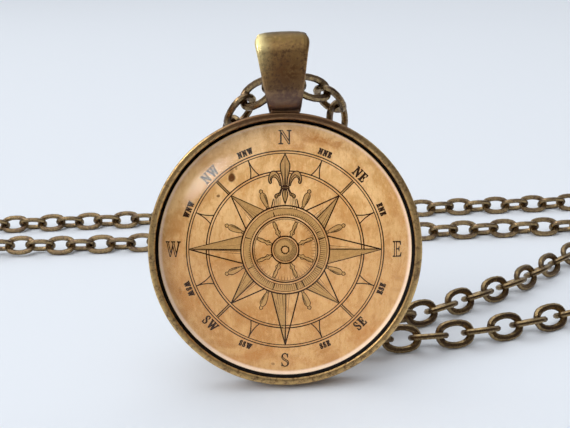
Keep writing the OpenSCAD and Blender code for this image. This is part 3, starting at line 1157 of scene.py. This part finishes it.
def make_room(scene):
    """A room that is pale overhead and behind the pendant, and dark low down elsewhere."""
    sky = bpy.data.worlds.new("soft_room")
    sky.use_nodes = True
    room = Nodes(sky.node_tree)
    split = room.add("SeparateXYZ", {0: room.add("TexCoord").outputs["Generated"]})
    behind = room.span(split.outputs["Y"], -0.05, 0.5)
    overhead = room.span(split.outputs["Z"], 0.5, 1.0)
    pale = room.reckon("MAXIMUM", behind, overhead)
    back = sky.node_tree.nodes["Background"].inputs
    room.feed(back["Color"], room.blend(pale, (0.19, 0.165, 0.155, 1), (0.90, 0.94, 1.0, 1)))
    room.feed(back["Strength"], 0.7)
    scene.world = sky


def fade_lamp(data, peak):
    """Makes a lamp's light fade from its middle to its edges."""
    data.use_nodes = True
    glow = Nodes(data.node_tree)
    values = {0: glow.add("NewGeometry").outputs["Parametric"], 1: (2, 2, 0), 2: (-1, -1, 0)}
    centred = glow.add("VectorMath", values, operation="MULTIPLY_ADD").outputs[0]
    strength = glow.span(glow.reach(centred), 1.0, 0.15, 0.0, peak)
    glow.feed(data.node_tree.nodes["Emission"].inputs["Strength"], strength)


def add_lamp(name, dial, at, size, power, colour, tall=None, long=(1, 0, 0)):
    """A rectangular lamp that faces the dial, with its long side along a direction."""
    data = bpy.data.lights.new(name, "AREA")
    data.shape = "RECTANGLE"
    data.size = size
    data.size_y = tall or size
    data.energy = power
    data.color = colour
    lamp = bpy.data.objects.new(name, data)
    back = Vector(at).normalized()
    side = Vector(long)
    side = (side - back * side.dot(back)).normalized()
    turn = Matrix((side, back.cross(side), back)).transposed().to_4x4()
    lamp.matrix_world = Matrix.Translation(dial + Vector(at)) @ turn
    bpy.context.scene.collection.objects.link(lamp)
    return lamp


def make_camera(scene, dial):
    """The camera, held close in front of the dial and dipped towards the floor."""
    camera = bpy.data.objects.new("camera", bpy.data.cameras.new("camera"))
    scene.collection.objects.link(camera)
    dip, roll = math.radians(CAMERA_DIP), math.radians(CAMERA_ROLL)
    ahead = Vector((0, math.cos(dip), -math.sin(dip)))
    right = Vector((1, 0, 0))
    up = right.cross(ahead)
    c, s = math.cos(roll), math.sin(roll)
    right, up = right * c + up * s, up * c - right * s
    turn = Matrix((right, up, -ahead)).transposed().to_4x4()
    camera.matrix_world = Matrix.Translation(dial + Vector(CAMERA_FROM_DIAL) * MM) @ turn
    camera.data.sensor_width = 36
    camera.data.lens = CAMERA_LENS
    camera.data.clip_start = 0.002
    camera.data.clip_end = 50
    scene.camera = camera


def make_stage(scene):
    """The floor, the room, the lamps and the camera, all placed from the dial's middle."""
    low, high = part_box("dial")
    dial = (low + high) / 2
    make_floor(scene)
    make_room(scene)
    window = add_lamp(
        "window", dial, (-0.81, -0.40, 0.79), 1.05, 3.6, (1, 0.985, 0.96), 0.34,
        (0.69, 0.01, 0.72),
    )
    fade_lamp(window.data, 5.2)
    window.visible_diffuse = False
    add_lamp("ceiling", dial, (-0.5, 0.3, 1.6), 2.2, 15.5, (0.95, 0.98, 1))
    # Soft light on the dial and the floor from the front and the left, kept out of the gloss.
    for name, at, size, power in (
        ("front", (-0.3, -1.15, 0.8), 0.9, 4.9),
        ("side", (-0.92, -0.62, 0.76), 0.6, 4.6),
    ):
        add_lamp(name, dial, at, size, power, (0.95, 0.97, 1)).visible_glossy = False
    make_camera(scene, dial)
    scene.view_settings.view_transform = "Standard"


# ---------------------------------------------------------------- operators


class PENDANT_OT_tray(bpy.types.Operator):
    """Turn the cast tray with its rounded rim"""

    bl_idname = "pendant.tray"
    bl_label = "Tray"

    def execute(self, context):
        make_tray(context.scene.pendant_sizes)
        return {"FINISHED"}


class PENDANT_OT_bail(bpy.types.Operator):
    """Bend the bail that the chain runs through"""

    bl_idname = "pendant.bail"
    bl_label = "Bail"

    def execute(self, context):
        make_bail(context.scene.pendant_sizes)
        return {"FINISHED"}


class PENDANT_OT_glass(bpy.types.Operator):
    """Turn the domed glass"""

    bl_idname = "pendant.glass"
    bl_label = "Glass dome"

    def execute(self, context):
        make_glass(context.scene.pendant_sizes)
        return {"FINISHED"}


class PENDANT_OT_paper(bpy.types.Operator):
    """Give the dial its aged paper"""

    bl_idname = "pendant.paper"
    bl_label = "Dial paper"

    def execute(self, context):
        put_finish("dial", aged_paper("dial_paper", context.scene.pendant_colours))
        return {"FINISHED"}


class PENDANT_OT_rose(bpy.types.Operator):
    """Print the rings and the sixteen winds"""

    bl_idname = "pendant.rose"
    bl_label = "Compass rose"

    def execute(self, context):
        make_rose(context.scene.pendant_print)
        return {"FINISHED"}


class PENDANT_OT_letters(bpy.types.Operator):
    """Print the letters of the winds"""

    bl_idname = "pendant.letters"
    bl_label = "Dial letters"

    def execute(self, context):
        make_letters(context.scene.pendant_print)
        return {"FINISHED"}


class PENDANT_OT_lily(bpy.types.Operator):
    """Print the fleur-de-lis at north"""

    bl_idname = "pendant.lily"
    bl_label = "Fleur-de-lis"

    def execute(self, context):
        make_lily()
        return {"FINISHED"}


class PENDANT_OT_helm(bpy.types.Operator):
    """Print the ship's wheel at the heart of the rose"""

    bl_idname = "pendant.helm"
    bl_label = "Ship's wheel"

    def execute(self, context):
        make_helm(context.scene.pendant_print)
        return {"FINISHED"}


class PENDANT_OT_chain(bpy.types.Operator):
    """Make the links, and give the clasp and its ring their aged brass"""

    bl_idname = "pendant.chain"
    bl_label = "Chain"

    def execute(self, context):
        for node in ("chain_front", "chain_back"):
            make_chain(node, context.scene.pendant_sizes)
        for node in ("clasp", "clasp_ring"):
            put_finish(node, finish_called("chain_brass"))
        return {"FINISHED"}


class PENDANT_OT_stage(bpy.types.Operator):
    """Set the floor, the lamps and the camera"""

    bl_idname = "pendant.stage"
    bl_label = "Stage"

    def execute(self, context):
        make_stage(context.scene)
        return {"FINISHED"}


class PENDANT_PT_sidebar(bpy.types.Panel):
    bl_idname = "PENDANT_PT_sidebar"
    bl_label = "Compass pendant"
    bl_space_type = "VIEW_3D"
    bl_region_type = "UI"
    bl_category = "Pendant"

    def draw(self, context):
        for group in ("pendant_sizes", "pendant_print", "pendant_colours"):
            values = getattr(context.scene, group)
            box = self.layout.box()
            for name in values.__annotations__:
                box.prop(values, name)
        for step in STEPS:
            self.layout.operator(step.bl_idname)


GROUPS = {
    "pendant_sizes": PendantSizes,
    "pendant_print": PrintSizes,
    "pendant_colours": FinishColours,
}
STEPS = (
    PENDANT_OT_tray,
    PENDANT_OT_bail,
    PENDANT_OT_glass,
    PENDANT_OT_paper,
    PENDANT_OT_rose,
    PENDANT_OT_letters,
    PENDANT_OT_lily,
    PENDANT_OT_helm,
    PENDANT_OT_chain,
    PENDANT_OT_stage,
)


def register():
    for group in GROUPS.values():
        bpy.utils.register_class(group)
    for name, group in GROUPS.items():
        setattr(bpy.types.Scene, name, PointerProperty(type=group))
    for step in STEPS:
        bpy.utils.register_class(step)
    bpy.utils.register_class(PENDANT_PT_sidebar)


def unregister():
    bpy.utils.unregister_class(PENDANT_PT_sidebar)
    for step in reversed(STEPS):
        bpy.utils.unregister_class(step)
    for name in GROUPS:
        delattr(bpy.types.Scene, name)
    for group in reversed(list(GROUPS.values())):
        bpy.utils.unregister_class(group)


def main():
    register()
    bpy.ops.pendant.tray()
    bpy.ops.pendant.bail()
    bpy.ops.pendant.glass()
    bpy.ops.pendant.paper()
    bpy.ops.pendant.rose()
    bpy.ops.pendant.letters()
    bpy.ops.pendant.lily()
    bpy.ops.pendant.helm()
    bpy.ops.pendant.chain()
    bpy.ops.pendant.stage()


if __name__ == "__main__":
    main()
